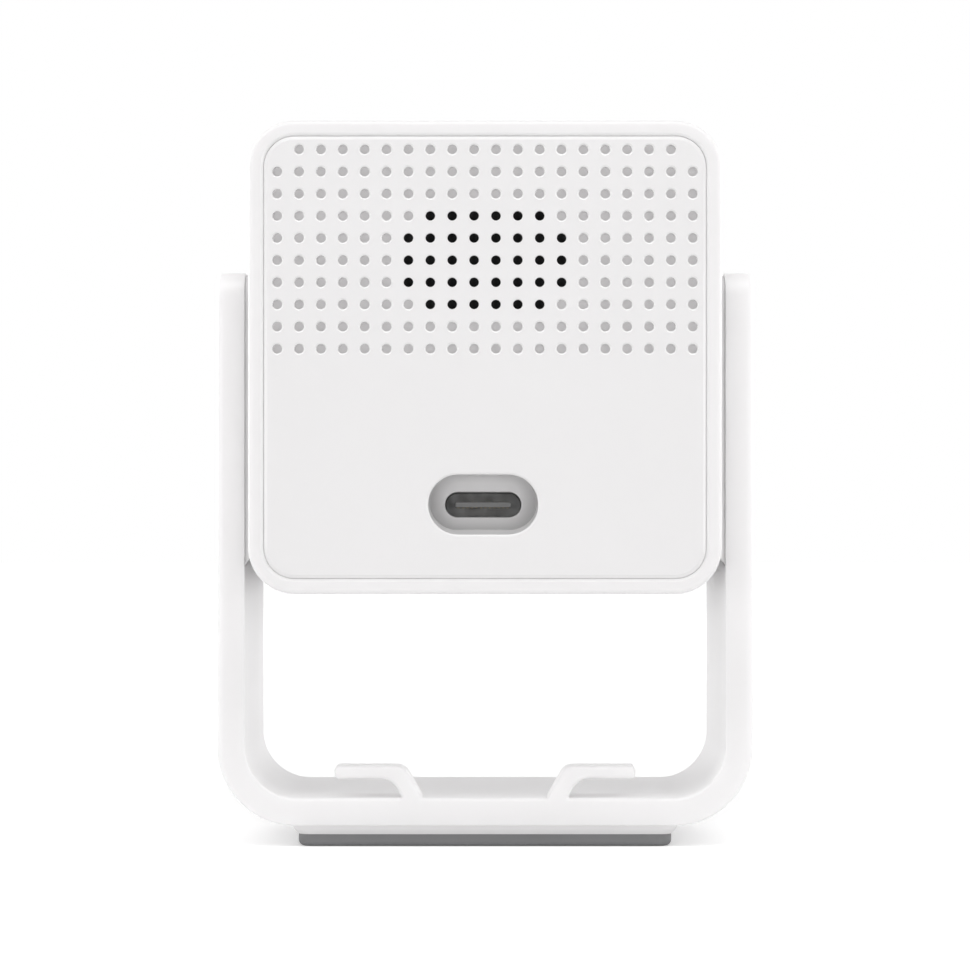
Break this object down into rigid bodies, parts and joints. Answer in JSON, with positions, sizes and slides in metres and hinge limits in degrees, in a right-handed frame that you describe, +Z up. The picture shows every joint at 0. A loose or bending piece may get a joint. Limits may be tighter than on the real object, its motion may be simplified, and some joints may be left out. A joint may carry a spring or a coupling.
{
  "type": "pet camera",
  "caption": "Cube-shaped indoor camera whose head tilts between the arms of a U-shaped stand, with a dotted speaker panel and a power socket at the back.",
  "frame": {"origin": "on the surface that the camera stands on, in the middle of the rubber foot", "axes": "+Z up, the lens looks towards -Y, the dotted back panel faces +Y, and +X runs across the two arms"},
  "size_m": [0.061, 0.0532, 0.081],
  "materials": {
    "shell_white": "fine moulded matt white",
    "panel_white": "fine moulded matt white",
    "stand_white": "fine moulded matt white",
    "base_white": "moulded matt white",
    "cap_white": "fine moulded matt white",
    "frame_white": "moulded matt white",
    "ring_white": "satin white",
    "bush_white": "smooth low-friction plastic",
    "button_grey": "matt",
    "foot_rubber": "matt",
    "foam_black": "matt",
    "speaker_cloth": "fine woven",
    "cone_black": "satin",
    "part_black": "moulded matt",
    "magnet_steel": "plated",
    "socket_steel": "plated, drawn",
    "shield_steel": "tinned",
    "screw_steel": "plated",
    "hub_steel": "turned",
    "heat_sink_aluminium": "extruded",
    "antenna_copper": "foil",
    "coil_copper": "enamelled wire",
    "window_black": "polished, passes infrared light",
    "barrel_black": "fine ribbed matt black",
    "lens_glass": "polished and coated",
    "sensor_glass": "polished",
    "pad_grey": "soft matt",
    "led_clear": "clear moulded",
    "light_pipe_clear": "frosted",
    "ribbon_white": "smooth",
    "cable_black": "smooth",
    "board_green": "lacquered",
    "ir_cut_blue": "coated",
    "clear_glass": "polished"
  },
  "bodies": {
    "stand": {"stand_bracket": "stand_white", "base_plate": "base_white", "base_foot": "foot_rubber", "base_screws": "screw_steel", "left_bush": "bush_white", "right_bush": "bush_white", "left_pivot_cap": "cap_white", "right_pivot_cap": "cap_white"},
    "head": {"head_shell": "shell_white", "back_panel": "panel_white", "speaker_mesh": "speaker_cloth", "speaker_gasket": "foam_black", "speaker_frame": "part_black", "speaker_cone": "cone_black", "speaker_magnet": "magnet_steel", "speaker_clamp": "part_black", "clamp_screws": "screw_steel", "usb_shell": "socket_steel", "usb_tongue": "part_black", "usb_board": "board_green", "usb_screws": "screw_steel", "front_window": "window_black", "front_ring": "ring_white", "lens_barrel": "barrel_black", "light_baffle": "foam_black", "front_lens": "lens_glass", "rear_lens": "lens_glass", "lens_mount": "part_black", "mount_screws": "screw_steel", "filter_coil": "coil_copper", "image_sensor": "sensor_glass", "main_board": "board_green", "soc_shield": "shield_steel", "thermal_pad": "pad_grey", "heat_sink": "heat_sink_aluminium", "heat_sink_screws": "screw_steel", "board_screws": "screw_steel", "inner_frame": "frame_white", "frame_screws": "screw_steel", "led_board": "board_green", "ir_leds": "led_clear", "status_led": "led_clear", "light_pipe": "light_pipe_clear", "microphone": "shield_steel", "mic_boot": "foam_black", "ribbon_cable": "ribbon_white", "power_cable": "cable_black", "wifi_antenna": "antenna_copper", "antenna_cable": "cable_black", "tact_switch": "part_black", "left_pivot_hub": "hub_steel", "right_pivot_hub": "hub_steel", "disc_springs": "hub_steel", "pivot_washers": "hub_steel", "pivot_screws": "screw_steel"},
    "ir_filter": {"filter_tray": "part_black", "ir_cut_glass": "ir_cut_blue", "clear_glass": "clear_glass"},
    "reset_button": {"reset_button": "button_grey", "switch_plunger": "part_black"}
  },
  "joints": [
    {"name": "head_tilt", "type": "hinge", "parent": "stand", "child": "head", "pos_m": [0, 0, 0.055], "axis": [1, 0, 0], "range_deg": [-90, 90]},
    {"name": "filter_shift", "type": "slide", "parent": "head", "child": "ir_filter", "axis": [1, 0, 0], "range_m": [-0.0054, 0]},
    {"name": "reset_press", "type": "slide", "parent": "head", "child": "reset_button", "axis": [0, 0, 1], "range_m": [0, 0.0003], "stiffness_N_per_m": 4000}
  ]
}
